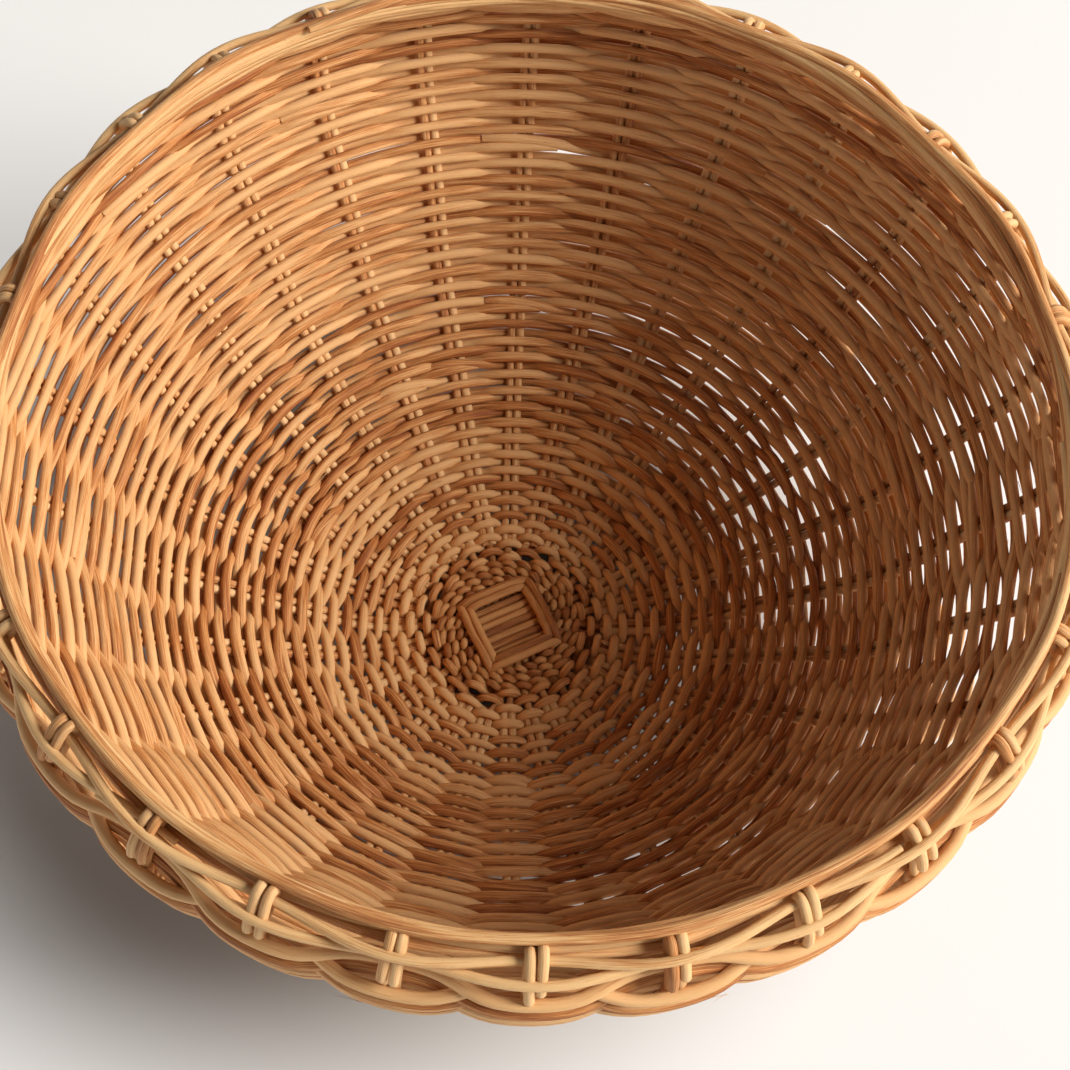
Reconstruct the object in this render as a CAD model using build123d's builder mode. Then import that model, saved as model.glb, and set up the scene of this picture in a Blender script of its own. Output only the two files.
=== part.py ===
"""Round wicker basket: a deep bowl woven in plain weave from peeled rattan reed.

Frame: +Z up, millimetres. The origin is the middle of the underside of the
base, so the basket stands on Z = 0 and +Z is its axis. There is no handle and
no lid, and nothing on it moves.

How it is built, as a basket maker would: seven base sticks cross seven more,
a square binding holds the cross, the stick ends fan out through the first
rounds, 28 pairs of stakes run from there up the wall, rounds of weaving close
the wall, and four rods make the border at the rim.
"""
from build123d import *
import os
from math import cos, sin, radians

# ---- driving dimensions (mm) -------------------------------------------------
STATIONS = 28            # pairs of stakes round the basket
STAKE_D = 3.6            # reed of the stakes
WEAVER_D = 3.6           # reed of the weaving
BASE_STICK_D = 3.2       # reed of the crossed sticks in the base
STICK_PITCH = 3.3        # base sticks lie side by side at this distance
STICKS_EACH_WAY = 7
BORDER_D = 4.0           # rods of the border
GAP = 0.1                # air left between reeds that lie side by side
PASSAGE_GAP = 0.25       # air left round a pair of stakes inside the weaving

WALL_HALF = STAKE_D / 2 + WEAVER_D       # stake line to either face of the wall
WALL_RUNS = (            # the stake line from the middle outwards: length, turn
    (45, 0),             # flat floor
    (36, 32),            # curve up from the floor
    (64, 0),             # wide sloping lower wall
    (43, 35),            # shoulder of the bowl
    (80, 0),             # steep upper wall
    (38, 65),            # swells and rolls in again below the border
)
STICK_REACH = 44.5       # radius where the base sticks end
STAKE_FOOT = 46.0        # radius where the stakes begin
BINDING_OUT = 17.5       # half width of the square binding
TWINING_OUT = 27.0       # radius where the paired first rounds end
BANDS = 10               # the weaving in bands of seven rounds each
BAND_END = 288.0         # stake line length where the weaving stops
STAKE_END = 300.0        # stake line length where the stakes stop
FIRST_STATION = -90.0    # degrees, the first pair of stakes is on -Y
CROSS_TURN = FIRST_STATION + 9 * 360 / STATIONS   # direction of the upper sticks


# ---- the wall as a rule --------------------------------------------------------
def wall_point(length, inward=0.0):
    """Radius and height at a length along the stake line, moved towards the inside."""
    r = 0.0
    z = WALL_HALF
    slope = 0.0
    for run, turn in WALL_RUNS:
        part = min(length, run)
        bend = radians(turn) * part / run
        if turn:
            bow = run / radians(turn)
            r += bow * (sin(slope + bend) - sin(slope))
            z += bow * (cos(slope) - cos(slope + bend))
        else:
            r += part * cos(slope)
            z += part * sin(slope)
        slope += bend
        length -= part
        if length <= 0:
            break
    r += length * cos(slope) - inward * sin(slope)
    z += length * sin(slope) + inward * cos(slope)
    return (r, z)


def strip_outline(start, end, half, steps=5):
    """Closed outline of a strip of the wall, half thick to each side of the stakes."""
    lengths = [start + (end - start) * i / steps for i in range(steps + 1)]
    inner = [wall_point(length, half) for length in lengths]
    outer = [wall_point(length, -half) for length in reversed(lengths)]
    return inner + outer + [inner[0]]


def station_plane(number):
    """Upright plane through the axis at a station: local X outwards, local Y up."""
    a = radians(FIRST_STATION + number * 360 / STATIONS)
    return Plane(origin=(0, 0, 0), x_dir=(cos(a), sin(a), 0), z_dir=(sin(a), -cos(a), 0))


def save(part, name):
    """Label the piece and write it as its own STEP file."""
    part.label = name
    export_step(part, f"parts/{name}.step")


os.makedirs("parts", exist_ok=True)
station_planes = [station_plane(number) for number in range(STATIONS)]

# ---- crossed base sticks: seven below, seven above at right angles -------------
for layer, turn, level in (("lower", CROSS_TURN + 90, -0.5), ("upper", CROSS_TURN, 0.5)):
    layer_plane = Plane.XY.offset(WALL_HALF + level * BASE_STICK_D).rotated((0, 0, turn))
    for number in range(STICKS_EACH_WAY):
        place = number - (STICKS_EACH_WAY - 1) / 2
        side = place * STICK_PITCH
        fan = radians(place * 360 / STATIONS)
        bend_x = BINDING_OUT - 0.9 * abs(place)
        tip_x = (STICK_REACH - BASE_STICK_D / 2) * cos(fan)
        tip_y = (STICK_REACH - BASE_STICK_D / 2) * sin(fan)
        with BuildPart() as base_stick:
            with BuildLine(layer_plane) as stick_line:
                Polyline(
                    (-tip_x, tip_y),
                    (-bend_x, side),
                    (bend_x, side),
                    (tip_x, tip_y),
                )
            with BuildSketch(Plane(origin=stick_line.line @ 0, z_dir=stick_line.line % 0)):
                Circle(BASE_STICK_D / 2)
            sweep(path=stick_line.line, transition=Transition.ROUND)
        save(base_stick.part, f"base_stick_{layer}_{number + 1}")

# ---- square binding round the cross, over it and under it ----------------------
cross_half = (STICKS_EACH_WAY - 1) / 2 * STICK_PITCH + BASE_STICK_D / 2
cover = WALL_HALF - BASE_STICK_D
with BuildPart() as cross_binding:
    for bottom in (0, 2 * WALL_HALF - cover):
        with BuildSketch(Plane.XY.offset(bottom).rotated((0, 0, CROSS_TURN))):
            RectangleRounded(2 * BINDING_OUT, 2 * BINDING_OUT, 3)
            Rectangle(2 * cross_half, 2 * cross_half, mode=Mode.SUBTRACT)
        extrude(amount=cover)
save(cross_binding.part, "cross_binding")

# ---- first rounds in pairs, and the rounds after them, above and below the sticks
with BuildPart() as base_twining:
    for bottom in (0, 2 * WALL_HALF - cover):
        with BuildSketch(Plane.XY.offset(bottom).rotated((0, 0, CROSS_TURN))):
            Circle(TWINING_OUT)
            RectangleRounded(2 * BINDING_OUT + GAP, 2 * BINDING_OUT + GAP, 3, mode=Mode.SUBTRACT)
        extrude(amount=cover)
save(base_twining.part, "base_twining")

with BuildPart() as base_weaving:
    for bottom in (0, 2 * WALL_HALF - cover):
        with BuildSketch(Plane.XY.offset(bottom)):
            Circle(STICK_REACH)
            Circle(TWINING_OUT + GAP, mode=Mode.SUBTRACT)
        extrude(amount=cover)
save(base_weaving.part, "base_weaving")

# ---- weaving of the wall: bands with a passage for every pair of stakes ---------
band_start = STICK_REACH + GAP
band_length = (BAND_END - band_start) / BANDS
for number in range(BANDS):
    start = band_start + number * band_length
    end = start + band_length - GAP
    with BuildPart() as weave_band:
        with BuildSketch(Plane.XZ):
            with BuildLine():
                Polyline(*strip_outline(start, end, WALL_HALF))
            make_face()
        revolve(axis=Axis.Z)
        with BuildSketch(*station_planes):
            with BuildLine():
                Polyline(*strip_outline(start - GAP, end + GAP, STAKE_D / 2 + PASSAGE_GAP))
            make_face()
        extrude(amount=STAKE_D + PASSAGE_GAP, both=True, mode=Mode.SUBTRACT)
    save(weave_band.part, f"weave_band_{number + 1:02d}")

# ---- stakes: two reeds side by side at every station ----------------------------
stake_steps = 26
stake_line_points = [
    wall_point(STAKE_FOOT + (STAKE_END - STAKE_FOOT) * i / stake_steps)
    for i in range(stake_steps + 1)
]
for number in range(STATIONS):
    with BuildPart() as stake_pair:
        for side in (-1, 1):
            reed_plane = station_planes[number].offset(side * (STAKE_D + GAP) / 2)
            with BuildLine(reed_plane) as reed_line:
                Spline(*stake_line_points)
            with BuildSketch(Plane(origin=reed_line.line @ 0, z_dir=reed_line.line % 0)):
                Circle(STAKE_D / 2)
            sweep(path=reed_line.line)
    save(stake_pair.part, f"stake_pair_{number + 1:02d}")

# ---- border rods: one each side of the stakes and two over their ends ------------
side_length = BAND_END + GAP + BORDER_D / 2
top_length = STAKE_END + GAP + BORDER_D / 2
beside = STAKE_D / 2 + GAP + BORDER_D / 2
border_rods = {
    "border_rod_inner": (side_length, beside),
    "border_rod_outer": (side_length, -beside),
    "border_rod_top_inner": (top_length, BORDER_D / 2 + GAP / 2),
    "border_rod_top_outer": (top_length, -BORDER_D / 2 - GAP / 2),
}
for name, (length, inward) in border_rods.items():
    radius, height = wall_point(length, inward)
    with BuildPart() as border_rod:
        with BuildSketch(Plane.XZ):
            with Locations((radius, height)):
                Circle(BORDER_D / 2)
        revolve(axis=Axis.Z)
    save(border_rod.part, name)
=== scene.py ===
"""A round wicker basket of peeled rattan reed, seen from above on a pale floor."""
import bpy
import numpy as np
from math import radians, tau
from mathutils import Matrix, Vector


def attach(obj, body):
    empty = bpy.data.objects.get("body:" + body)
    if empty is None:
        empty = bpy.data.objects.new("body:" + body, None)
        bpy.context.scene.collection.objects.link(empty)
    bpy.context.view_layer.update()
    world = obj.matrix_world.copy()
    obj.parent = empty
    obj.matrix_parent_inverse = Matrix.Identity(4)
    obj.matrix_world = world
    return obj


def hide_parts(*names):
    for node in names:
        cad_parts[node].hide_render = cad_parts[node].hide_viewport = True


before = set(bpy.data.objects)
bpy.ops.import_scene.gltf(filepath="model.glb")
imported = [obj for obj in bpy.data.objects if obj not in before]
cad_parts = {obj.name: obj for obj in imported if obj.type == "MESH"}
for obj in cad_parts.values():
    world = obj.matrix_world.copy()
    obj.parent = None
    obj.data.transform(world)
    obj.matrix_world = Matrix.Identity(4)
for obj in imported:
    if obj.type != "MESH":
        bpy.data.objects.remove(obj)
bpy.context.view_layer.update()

# ---- sizes of the real basket, in metres ---------------------------------------
MM = 0.001
STATIONS = 28
STAKE_R = 1.8 * MM
WEAVER_R = 1.88 * MM
STICK_R = 1.65 * MM
WALL_HALF = 5.4 * MM
PITCH = 3.5 * MM                     # one round of weaving to the next
ROD_R = 1.95 * MM
THIN_ROD_R = 1.75 * MM
WRAP_ROD_R = 1.5 * MM
TWINING_R = 1.55 * MM
HAIR_R = 0.11 * MM
# the wall's outline as (length in mm, turn in degrees) runs along a stake, from the centre
WALL_RUNS = ((45, 0), (36, 32), (64, 0), (43, 35), (80, 0), (38, 65))
FIRST_STATION = radians(-90)
CROSS_TURN = FIRST_STATION + 9 * tau / STATIONS
CREST = 297 * MM                     # stake line length at the border
BANDS = 10
BAND_START, BAND_END = 44.6 * MM, 288.0 * MM
BAND_LENGTH = (BAND_END - BAND_START) / BANDS
FIRST_ROUND, LAST_ROUND = 31.5 * MM, 283.5 * MM
LEAN = (-0.0062, -0.0042)            # the base sits a little off the middle of the rim
rng = np.random.default_rng(28)


def wall_point(length, inward):
    """Radius and height at lengths along the stake line, moved towards the inside."""
    length = np.asarray(length, float) / MM
    r = np.zeros_like(length)
    z = np.full_like(length, WALL_HALF / MM)
    slope = np.zeros_like(length)
    left = length.copy()
    for number, (run, turn) in enumerate(WALL_RUNS):
        last = number == len(WALL_RUNS) - 1
        part = np.clip(left, 0, None if last else run)
        if turn:
            bow = run / np.radians(turn)
            bend = part / bow
            r += bow * (np.sin(slope + bend) - np.sin(slope))
            z += bow * (np.cos(slope) - np.cos(slope + bend))
            slope = slope + bend
        else:
            r += part * np.cos(slope)
            z += part * np.sin(slope)
        left = left - part
    inward = np.asarray(inward, float) / MM
    return (r - inward * np.sin(slope)) * MM, (z + inward * np.cos(slope)) * MM


def ring_points(angle, length, inward, aside=0.0):
    """Points round the basket: angle, place along the stake line, depth in the wall."""
    along = np.asarray(length) / MM
    # the wall swells outwards under the border, then draws in to meet it
    swell = 10.0 * MM * np.exp(-((along - 244) / 33) ** 2)
    tuck = 3.5 * MM * np.clip((along - 280) / 14, 0, 1)
    r, z = wall_point(length, np.asarray(inward) - swell + tuck)
    x = r * np.cos(angle) - aside * np.sin(angle)
    y = r * np.sin(angle) + aside * np.cos(angle)
    return settle(np.stack([x, y, z], axis=-1))


def settle(points):
    """Shifts the low part of the basket to where its weaver let it settle."""
    share = 1 - np.clip(points[..., 2:3] / 0.186, 0, 1)
    return points + share * np.array([LEAN[0], LEAN[1], 0.0])


def drift(count, size, waves=5):
    """A slow random wander along a reed, as a hand leaves it."""
    u = np.linspace(0, tau, count)
    out = np.zeros(count)
    for k in range(1, waves + 1):
        out += rng.normal() * np.sin(k * u * rng.uniform(0.6, 1.4) + rng.uniform(0, tau)) / k ** 0.5
    return out * size / waves ** 0.5


# ---- node helpers ----------------------------------------------------------------
def node(tree, kind, links=None, outputs=None, **settings):
    """Adds a node, sets it, and links its inputs by name or number."""
    made = tree.nodes.new(kind)
    for key, value in settings.items():
        setattr(made, key, value)
    for key, value in (links or {}).items():
        socket = made.inputs[key]
        if isinstance(value, bpy.types.NodeSocket):
            tree.links.new(value, socket)
        else:
            socket.default_value = value
    return made


def linear(hex_colour):
    """An sRGB hex colour as linear RGBA."""
    values = [int(hex_colour[i:i + 2], 16) / 255 for i in (1, 3, 5)]
    return [v / 12.92 if v <= 0.04045 else ((v + 0.055) / 1.055) ** 2.4 for v in values] + [1.0]


# ---- materials -------------------------------------------------------------------
def rattan(name, pale, honey, brown):
    """Peeled rattan core: dull, pale honey, with fine lengthwise fibres and dark pores.

    The grain is drawn a little coarser than real fibre, so that it shows at the basket's size.
    """
    material = bpy.data.materials.new(name)
    material.use_nodes = True
    tree = material.node_tree
    tree.nodes.clear()
    ring = node(tree, "ShaderNodeAttribute", attribute_name="ring").outputs["Vector"]
    reed = node(tree, "ShaderNodeAttribute", attribute_name="reed")
    along = node(tree, "ShaderNodeAttribute", attribute_name="along").outputs["Fac"]
    tone = reed.outputs["Fac"]
    shift = node(tree, "ShaderNodeMath", {0: tone, 1: 37.0}, operation="MULTIPLY").outputs[0]
    down = node(tree, "ShaderNodeMath", {0: along, 1: shift}, operation="ADD").outputs[0]
    lift = node(tree, "ShaderNodeCombineXYZ", {2: down}).outputs[0]

    def grain(round_scale, along_scale, scale, detail):
        """Noise drawn out along the reed: turns round it and metres along it."""
        a = node(tree, "ShaderNodeVectorMath", {0: ring, 1: (round_scale,) * 3}, operation="MULTIPLY")
        b = node(tree, "ShaderNodeVectorMath", {0: lift, 1: (0, 0, along_scale)}, operation="MULTIPLY")
        c = node(tree, "ShaderNodeVectorMath", {0: a.outputs[0], 1: b.outputs[0]}, operation="ADD")
        return node(tree, "ShaderNodeTexNoise", {"Vector": c.outputs[0], "Scale": scale, "Detail": detail,
                                                 "Roughness": 0.65}).outputs["Fac"]

    fibre = grain(5.0, 40.0, 1.6, 4.0)
    patch = grain(0.35, 14.0, 1.5, 2.0)
    pores = grain(4.0, 160.0, 2.0, 2.0)
    # tone of the whole reed, with slow patches along it
    mix = node(tree, "ShaderNodeMath", {0: tone, 1: 0.34}, operation="MULTIPLY").outputs[0]
    mix = node(tree, "ShaderNodeMath", {0: patch, 1: 0.62, 2: mix}, operation="MULTIPLY_ADD").outputs[0]
    mix = node(tree, "ShaderNodeMath", {0: fibre, 1: 0.95, 2: mix}, operation="MULTIPLY_ADD").outputs[0]
    ramp = node(tree, "ShaderNodeValToRGB", {0: mix})
    stops = ramp.color_ramp.elements
    stops[0].position, stops[0].color = 0.68, linear(brown)
    stops[1].position, stops[1].color = 1.0, linear(pale)
    middle = stops.new(0.86)
    middle.color = linear(honey)
    # small dark pores and scratches
    dark = node(tree, "ShaderNodeMapRange", {"Value": pores, "From Min": 0.66, "From Max": 0.78,
                                             "To Min": 0.0, "To Max": 0.45}).outputs[0]
    colour = node(tree, "ShaderNodeMix", data_type="RGBA")
    tree.links.new(dark, colour.inputs[0])
    tree.links.new(ramp.outputs[0], colour.inputs[6])
    colour.inputs[7].default_value = linear("#5A2F16")
    bump = node(tree, "ShaderNodeBump", {"Height": fibre, "Strength": 0.75, "Distance": 0.35 * MM})
    shade = node(tree, "ShaderNodeBsdfPrincipled", {"Base Color": colour.outputs[2],
                                                    "Normal": bump.outputs[0]})
    shade.inputs["Roughness"].default_value = 0.6
    shade.inputs["Specular IOR Level"].default_value = 0.35
    node(tree, "ShaderNodeOutputMaterial", {"Surface": shade.outputs[0]})
    return material


# split from the core and dried in the sun: the widest mix of pale, honey and brown reeds
weaving_rattan = rattan("peeled_rattan_weavers", "#E3B27A", "#C8864A", "#8F4C22")
# picked for straightness: a shade paler, so that the ribs show between the weavers
stake_rattan = rattan("peeled_rattan_stakes", "#E6BA84", "#CF9258", "#9C5A2C")
# handled at the rim: pale and even, with brown only in the grain
border_rattan = rattan("peeled_rattan_border", "#E6BA82", "#CE9056", "#965226")
# soaked longest, for the tight crossing: duller and browner than the rest
stick_rattan = rattan("peeled_rattan_base_sticks", "#CC935A", "#AE6E38", "#7A401C")


# ---- reeds along paths -----------------------------------------------------------
def reed_tree():
    """Geometry nodes: every edge path becomes a round reed with closed ends."""
    tree = bpy.data.node_groups.new("reed_along_path", "GeometryNodeTree")
    face = tree.interface
    face.new_socket("Geometry", in_out="INPUT", socket_type="NodeSocketGeometry")
    face.new_socket("Sides", in_out="INPUT", socket_type="NodeSocketInt")
    face.new_socket("Material", in_out="INPUT", socket_type="NodeSocketMaterial")
    face.new_socket("Geometry", in_out="OUTPUT", socket_type="NodeSocketGeometry")
    put = node(tree, "NodeGroupInput")
    path = node(tree, "GeometryNodeMeshToCurve", {"Mesh": put.outputs["Geometry"]})
    thick = node(tree, "GeometryNodeInputNamedAttribute", {"Name": "thick"}, data_type="FLOAT")
    circle = node(tree, "GeometryNodeCurvePrimitiveCircle", {"Resolution": put.outputs["Sides"],
                                                             "Radius": 1.0})
    spot = node(tree, "GeometryNodeInputPosition")
    marked = node(tree, "GeometryNodeStoreNamedAttribute", {"Geometry": circle.outputs["Curve"],
                                                            "Name": "ring", "Value": spot.outputs[0]},
                  data_type="FLOAT_VECTOR", domain="POINT")
    tube = node(tree, "GeometryNodeCurveToMesh", {"Curve": path.outputs["Curve"],
                                                  "Profile Curve": marked.outputs[0],
                                                  "Scale": thick.outputs["Attribute"],
                                                  "Fill Caps": True})
    smooth = node(tree, "GeometryNodeSetShadeSmooth", {"Geometry": tube.outputs[0]})
    real = node(tree, "GeometryNodeRealizeInstances", {"Geometry": smooth.outputs[0]})
    paint = node(tree, "GeometryNodeSetMaterial", {"Geometry": real.outputs[0],
                                                   "Material": put.outputs["Material"]})
    node(tree, "NodeGroupOutput", {"Geometry": paint.outputs[0]})
    return tree


REEDS = reed_tree()


def make_reeds(name, paths, material, sides=9):
    """Turns paths of (points, thickness) into one mesh of reeds."""
    verts, edges, thick, reed, along = [], [], [], [], []
    for points, radius in paths:
        points = np.asarray(points, float)
        first = len(verts)
        steps = np.linalg.norm(np.diff(points, axis=0), axis=1)
        verts += [tuple(p) for p in points]
        edges += [(first + i, first + i + 1) for i in range(len(points) - 1)]
        thick += list(np.broadcast_to(radius, len(points)))
        reed += [float(rng.uniform())] * len(points)
        along += list(np.concatenate([[0.0], np.cumsum(steps)]))
    lines = bpy.data.meshes.new(name + "_paths")
    lines.from_pydata(verts, edges, [])
    for key, values in (("thick", thick), ("reed", reed), ("along", along)):
        lines.attributes.new(key, "FLOAT", "POINT").data.foreach_set("value", values)
    maker = bpy.data.objects.new(name + "_maker", lines)
    bpy.context.collection.objects.link(maker)
    change = maker.modifiers.new("reeds", "NODES")
    change.node_group = REEDS
    wanted = {"Sides": sides, "Material": material}
    for item in REEDS.interface.items_tree:
        if item.in_out == "INPUT" and item.name in wanted:
            change[item.identifier] = wanted[item.name]
    ready = maker.evaluated_get(bpy.context.evaluated_depsgraph_get())
    mesh = bpy.data.meshes.new_from_object(ready)
    mesh.name = name
    piece = bpy.data.objects.new(name, mesh)
    bpy.context.collection.objects.link(piece)
    bpy.data.objects.remove(maker, do_unlink=True)
    return piece


def hand_in(piece, slot, *nodes):
    """Ties a finished piece to the basket's body and hides its CAD nodes; the slot is not used."""
    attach(piece, "root")
    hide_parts(*nodes)


def soft_ends(count, radius, taper=5):
    """Reed thickness along a path that is cut to a slight point at both ends."""
    shape = np.ones(count)
    for i in range(taper):
        shape[i] = shape[-1 - i] = 0.72 + 0.28 * i / taper
    return radius * shape


# ---- the rounds of plain weave ---------------------------------------------------
def weave_round(number, length, radius, swing, loose):
    """One reed once round the basket, before one pair of stakes and behind the next."""
    start = int(rng.integers(0, STATIONS))
    start += (start + number) % 2 if rng.uniform() < 0.75 else 0
    over = 0.8 if length > 70 * MM else 0.3
    u = np.linspace(start - 0.35, start + STATIONS + over - 0.35, STATIONS * 10 + 9)
    angle = FIRST_STATION + u * tau / STATIONS
    # a wave with flattened crests, because a reed lies straight across each pair of stakes
    wave = np.cos(np.pi * (u + number))
    wave = np.tanh(1.25 * wave) / np.tanh(1.25)
    depth = swing * wave + drift(len(u), 0.16 * MM * loose, 9)
    place = length + drift(len(u), 0.62 * MM * loose, 16)
    # a round climbs as it comes in and drops as it goes out: all the way round high on the
    # wall, and at the sides and the front lower down, so that the rounds close on each other
    upper = np.clip((length / MM - 140) / 50, 0, 1)
    lower = np.clip((length / MM - 75) / 30, 0, 1) * (1 - upper)
    leaning = 1.8 * np.cos(angle) ** 2 + 1.6 * np.minimum(np.sin(angle), 0) ** 2
    climb = (1.6 * upper + leaning * lower) * MM
    place = place + climb * wave
    # the end of the reed steps up to lie over its own start
    lap = np.clip((u - u[0] - STATIONS + 0.25) / 0.9, 0, 1)
    place = place + lap * 0.9 * PITCH
    points = ring_points(angle, place, depth)
    thick = radius * (1 + rng.normal() * 0.06) * (1 + drift(len(u), 0.05, 16))
    return points, soft_ends(len(u), 1.0, 3) * thick


def openness(length):
    """How loosely the middle of the wall is woven, from 0 to 1."""
    return np.exp(-((length / MM - 185) / 38) ** 2)


round_places = []
place = FIRST_ROUND
while place < LAST_ROUND:
    round_places.append(place)
    place += PITCH * (1 + 0.03 * openness(place) + rng.normal() * 0.02)

rounds = {}
for number, place in enumerate(round_places):
    if place < BAND_START:
        # flat rounds over the base sticks, thinner and pulled tight
        reed = weave_round(number, place, WEAVER_R * 0.95, (STICK_R + WEAVER_R) * 0.9, 0.5)
        band = -1
    else:
        swing = (2.5 + 0.9 * min(place / (240 * MM), 1) ** 2) * MM
        reed = weave_round(number, place, WEAVER_R * 1.1, swing, 1.0 + 0.35 * openness(place))
        band = min(int((place - BAND_START) // BAND_LENGTH), BANDS - 1)
    rounds.setdefault(band, []).append(reed)

for band, reeds in rounds.items():
    name = "base_weaving" if band < 0 else f"weave_band_{band + 1:02d}"
    hand_in(make_reeds(name + "_reeds", reeds, weaving_rattan), "weaving_reed", name)

# ---- stakes: a pair at each station, bent outwards over the border ------------------
WALL_STEPS, BEND_STEPS = 64, 26
STAKE_FOOT, STAKE_BEND = 39 * MM, 287 * MM
crest_lengths = np.array([289, 293, 296.5, 299, 300, 298.5, 295, 290.5, 286, 282.5]) * MM
crest_depths = np.array([0, 0.4, 0.4, -0.4, -2.2, -3.9, -4.9, -5.2, -4.6, -3.2]) * MM


def smooth_path(values, count):
    """Evenly refines a short list of places with a cubic curve through them."""
    values = np.asarray(values, float)
    t = np.linspace(0, len(values) - 1, count)
    i = np.clip(t.astype(int), 0, len(values) - 2)
    f = t - i
    padded = np.concatenate([[2 * values[0] - values[1]], values, [2 * values[-1] - values[-2]]])
    a, b, c, d = padded[i], padded[i + 1], padded[i + 2], padded[i + 3]
    return 0.5 * (2 * b + (c - a) * f + (2 * a - 5 * b + 4 * c - d) * f ** 2
                  + (3 * b - a - 3 * c + d) * f ** 3)


for station in range(STATIONS):
    pair = []
    for side in (-1, 1):
        rng.uniform()                # a spare draw, so that every reed lies as it was laid
        lengths = np.concatenate([np.linspace(STAKE_FOOT, STAKE_BEND, WALL_STEPS),
                                  smooth_path(crest_lengths, BEND_STEPS)])
        lengths[-BEND_STEPS:] += rng.normal() * 0.4 * MM
        depths = np.concatenate([drift(WALL_STEPS, 0.25 * MM, 6) * np.linspace(1, 0, WALL_STEPS),
                                 smooth_path(crest_depths, BEND_STEPS)])
        aside = side * np.minimum(1.84 * MM, 0.04 * wall_point(lengths, 0)[0])
        aside = aside + drift(len(lengths), 0.22 * MM, 7)
        sway = drift(len(lengths), 0.5 * MM, 4)
        angle = np.full(len(lengths), FIRST_STATION + station * tau / STATIONS)
        points = ring_points(angle, lengths, depths, aside + sway * 0.6)
        keep = len(points) - int(rng.integers(0, 4))
        pair.append((points[:keep], STAKE_R * (1 + rng.normal() * 0.04)))
    piece = make_reeds(f"stake_pair_{station + 1:02d}_reeds", pair, stake_rattan, 10)
    hand_in(piece, "stake_reed", f"stake_pair_{station + 1:02d}")


# ---- border rods ------------------------------------------------------------------
def rod_round(length, depth, swing, phase, radius):
    """A rod once round the rim, weaving through the bent stakes."""
    steps = STATIONS * 10
    start = rng.uniform(0, STATIONS)
    u = np.linspace(start, start + STATIONS + 0.7, steps)
    wave = np.cos(np.pi * u + phase)
    lap = np.clip((u - u[0] - STATIONS + 0.6) / 1.3, 0, 1)
    depths = depth + swing * wave + drift(steps, 0.2 * MM, 9) + lap * 1.2 * MM
    places = length + drift(steps, 0.3 * MM, 12) + lap * 3.4 * MM
    angle = FIRST_STATION + u * tau / STATIONS
    return ring_points(angle, places, depths), soft_ends(steps, radius, 4)


def short_rods(length, depth, rise, move, span, radius):
    """Rods that each start at a station, run past the next few and lie over one another."""
    made = []
    steps = 44
    for station in range(STATIONS):
        reach = span + rng.uniform(-0.25, 0.35)
        u = np.linspace(0, 1, steps)
        begin = station + 0.4 + rng.uniform(-0.25, 0.25)
        ease = u * u * (3 - 2 * u)
        bow = 0.9 * MM * np.sin(np.pi * u)
        places = length - rise / 2 + rise * ease + bow + drift(steps, 0.25 * MM, 4)
        depths = depth - move / 2 + move * ease + drift(steps, 0.25 * MM, 4)
        angle = FIRST_STATION + (begin + reach * u) * tau / STATIONS
        thick = radius * (1 + rng.normal() * 0.07)
        made.append((ring_points(angle, places, depths), soft_ends(steps, thick, 7)))
    return made


inner = [rod_round(292.6 * MM, 3.5 * MM, 0.7 * MM, 0.0, ROD_R),
         rod_round(296.4 * MM, 3.3 * MM, 0.6 * MM, np.pi, ROD_R)]
hand_in(make_reeds("border_rods_inner", inner, border_rattan, 10), "border_reed", "border_rod_inner")
top_inner = short_rods(300.4 * MM, 2.2 * MM, 4.4 * MM, -3.0 * MM, 4.2, WRAP_ROD_R)
hand_in(make_reeds("border_rods_top_inner", top_inner, border_rattan, 10),
        "border_reed", "border_rod_top_inner")
top_outer = [rod_round(303.2 * MM, -1.2 * MM, 0.7 * MM, 0.0, ROD_R)]
hand_in(make_reeds("border_rods_top_outer", top_outer, border_rattan, 10),
        "border_reed", "border_rod_top_outer")
outer = [rod_round(295.6 * MM, -4.2 * MM, 2.6 * MM, 0.0, THIN_ROD_R),
         rod_round(291.4 * MM, -4.2 * MM, 2.6 * MM, np.pi, THIN_ROD_R)]
hand_in(make_reeds("border_rods_outer", outer, border_rattan, 10), "border_reed", "border_rod_outer")


# ---- base: crossed sticks, square binding, first rounds in pairs --------------------
def turned(points, turn):
    """Points turned about the basket's axis."""
    c, s = np.cos(turn), np.sin(turn)
    x, y, z = np.asarray(points, float).T
    return settle(np.stack([c * x - s * y, s * x + c * y, z], axis=-1))


for layer, turn, level in (("lower", CROSS_TURN + tau / 4, -1), ("upper", CROSS_TURN, 1)):
    for number in range(7):
        place = number - 3
        fan = place * tau / STATIONS
        # half a stick as (along, across) in mm: flat under the binding, then fanning out
        half = [(0, place * 3.3), (9, place * 3.3), (15.5, place * 3.5),
                (22, place * 4.4), (29, 29.5 * np.sin(fan)), (43 * np.cos(fan), 43 * np.sin(fan))]
        xs = smooth_path([p[0] for p in half], 30)
        ys = smooth_path([p[1] for p in half], 30)
        xs = np.concatenate([-xs[::-1], xs[1:]])
        ys = np.concatenate([ys[::-1], ys[1:]])
        height = WALL_HALF / MM + level * 1.6 * np.clip((34 - np.abs(xs)) / 18, 0, 1)
        points = turned(np.stack([xs, ys + drift(59, 0.12, 4), height], axis=-1) * MM, turn)
        piece = make_reeds(f"base_stick_{layer}_{number + 1}_reed", [(points, STICK_R)], stick_rattan, 12)
        hand_in(piece, "base_stick_reed", f"base_stick_{layer}_{number + 1}")

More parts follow.
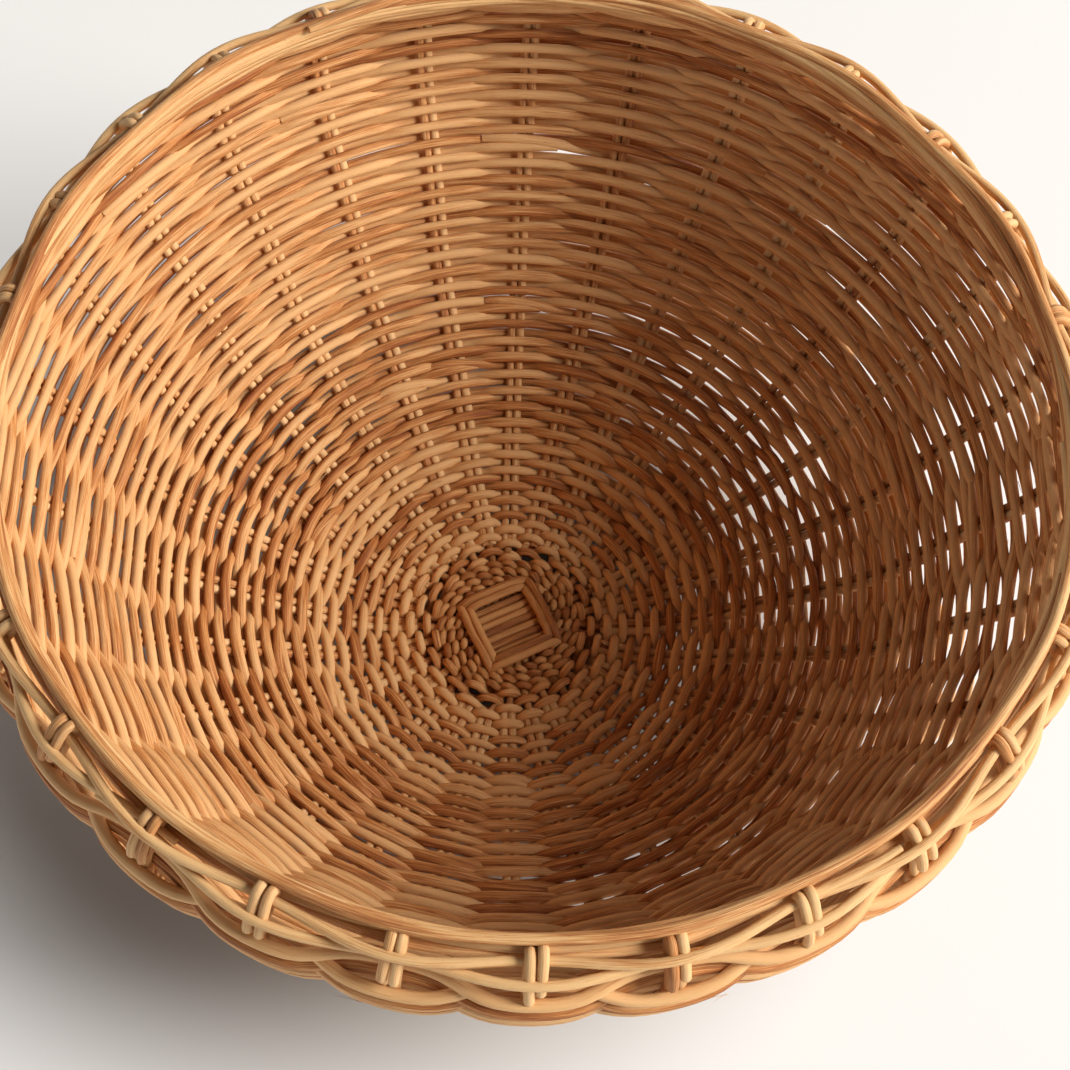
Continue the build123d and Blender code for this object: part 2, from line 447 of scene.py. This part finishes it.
binding = []
for face in (-1, 1):
    for quarter in range(4):
        for lane, offset in enumerate((12.7, 15.8)):
            reach = 12.6 + 2.0 * lane
            us = np.linspace(-1, 1, 26)
            if face > 0:
                lift = WALL_HALF / MM + (4.9 - 3.6 * np.abs(us) ** 6)
            else:
                lift = WALL_HALF / MM - 4.0 + 2.6 * np.abs(us) ** 6
            bow = offset + 0.5 * (1 - us ** 2) + drift(26, 0.12, 3)
            points = np.stack([us * reach * 1.12, bow, lift], axis=-1) * MM
            binding.append((turned(points, CROSS_TURN + quarter * tau / 4), THIN_ROD_R))
hand_in(make_reeds("cross_binding_reeds", binding, stick_rattan, 12), "weaving_reed", "cross_binding")

twining = []
for number, radius in enumerate((21.0, 25.0, 28.6)):
    for strand in (0, 1):
        u = np.linspace(0, STATIONS + 0.8, STATIONS * 10)
        wave = np.cos(np.pi * (u + strand + number))
        cross = np.sin(np.pi * (u + strand + number))
        places = (radius + 0.9 * cross) * MM + drift(len(u), 0.25 * MM, 9)
        depths = (STICK_R + 1.5 * MM) * wave
        angle = FIRST_STATION + u * tau / STATIONS
        twining.append((ring_points(angle, places, depths), soft_ends(len(u), TWINING_R, 5)))
hand_in(make_reeds("base_twining_reeds", twining, stick_rattan, 8), "weaving_reed", "base_twining")

# ---- stray fibres: fine hairs that lift where a reed is bent or cut -------------------
fibres = []
for number in range(260):
    length = rng.uniform(60, 300) * MM
    angle = rng.uniform(0, tau)
    depth = rng.choice([-1, 1]) * rng.uniform(4.6, 5.4) * MM
    reach = rng.uniform(3, 10) * MM
    t = np.linspace(0, 1, 7)
    curl = rng.uniform(-1, 1) * 2.0 * MM
    heading = rng.choice([-1, 1]) * reach / max(0.03, float(wall_point(length, 0)[0]))
    points = ring_points(angle + heading * t, length + curl * t ** 2 + rng.normal() * MM * t,
                         depth + np.sign(depth) * rng.uniform(0.2, 1.6) * MM * t ** 2)
    fibres.append((points, HAIR_R * (1.15 - t)))
piece = make_reeds("stray_fibres", fibres, stake_rattan, 4)
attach(piece, "root")

# ---- floor, light and camera ----------------------------------------------------------
floor_mesh = bpy.data.meshes.new("floor")
floor_mesh.from_pydata([(-6, -6, 0), (6, -6, 0), (6, 6, 0), (-6, 6, 0)], [], [(0, 1, 2, 3)])
floor = bpy.data.objects.new("floor", floor_mesh)
bpy.context.collection.objects.link(floor)
paper = bpy.data.materials.new("pale_paper_with_painted_glow")
paper.use_nodes = True
surface = paper.node_tree.nodes["Principled BSDF"]
# the paper's base colour is kept grey, and the painted glow below makes up much of its brightness
surface.inputs["Base Color"].default_value = linear("#ABA9A7")
surface.inputs["Roughness"].default_value = 0.95
surface.inputs["Emission Color"].default_value = linear("#F4F2EF")
# painted light: away from the basket the paper glows with an emission of its own, which lifts it and its
# shadow, and none of it under the basket, where the fading glow paints a dark shadow
ground = node(paper.node_tree, "ShaderNodeNewGeometry").outputs["Position"]
away = node(paper.node_tree, "ShaderNodeVectorMath", {0: ground, 1: (-0.07, 0.0, 0.0)},
            operation="DISTANCE").outputs["Value"]
painted_glow_strength = node(paper.node_tree, "ShaderNodeMapRange", {"Value": away, "From Min": 0.15, "From Max": 0.25,
                                                      "To Min": 0.0, "To Max": 0.56},
              interpolation_type="SMOOTHSTEP")
paper.node_tree.links.new(painted_glow_strength.outputs[0], surface.inputs["Emission Strength"])
floor_mesh.materials.append(paper)


def soft_light(name, place, target, size, power, colour):
    """A square softbox turned towards a point."""
    lamp = bpy.data.lights.new(name, "AREA")
    lamp.size = size
    lamp.energy = power
    lamp.color = colour
    holder = bpy.data.objects.new(name, lamp)
    holder.location = place
    holder.rotation_euler = (Vector(target) - Vector(place)).to_track_quat("-Z", "Y").to_euler()
    bpy.context.collection.objects.link(holder)


soft_light("window_right", (2.9, -0.4, 2.3), (0, 0, 0.1), 1.5, 200, (1.0, 0.965, 0.91))
world = bpy.data.worlds.new("studio")
world.use_nodes = True
world.node_tree.nodes["Background"].inputs[0].default_value = linear("#F4F2EF")
sky = node(world.node_tree, "ShaderNodeTexCoord").outputs["Generated"]
up = node(world.node_tree, "ShaderNodeSeparateXYZ", {0: sky}).outputs[2]
glow = node(world.node_tree, "ShaderNodeMapRange", {"Value": up, "From Min": 0.0, "From Max": 0.7,
                                                    "To Min": 1.15, "To Max": 0.05})
world.node_tree.links.new(glow.outputs[0], world.node_tree.nodes["Background"].inputs[1])
bpy.context.scene.world = world
bpy.context.scene.view_settings.view_transform = "Standard"

rim_radius, rim_height = wall_point(CREST, 0)
rim_radius, rim_height = float(rim_radius), float(rim_height)
tilt, roll, turn = radians(63.59), radians(4.42), radians(-3.89)
eye = Vector((0.013, -0.252 - 3.367 * np.cos(tilt), 3.367 * np.sin(tilt))) * rim_radius
ahead = Vector((0, np.cos(tilt), -np.sin(tilt)))
right = Vector((1, 0, 0))
above = right.cross(ahead)
side = right * np.cos(roll) + above * np.sin(roll)
top = above * np.cos(roll) - right * np.sin(roll)
basis = Matrix((side, top, -ahead)).transposed().to_4x4()
camera = bpy.data.objects.new("camera", bpy.data.cameras.new("camera"))
camera.data.sensor_width = 36
camera.data.lens = 64.8
camera.data.clip_start = 0.01
around = Matrix.Rotation(turn, 4, "Z")
camera.matrix_world = around @ Matrix.Translation(eye + Vector((0, 0, rim_height))) @ basis
bpy.context.collection.objects.link(camera)
bpy.context.scene.camera = camera
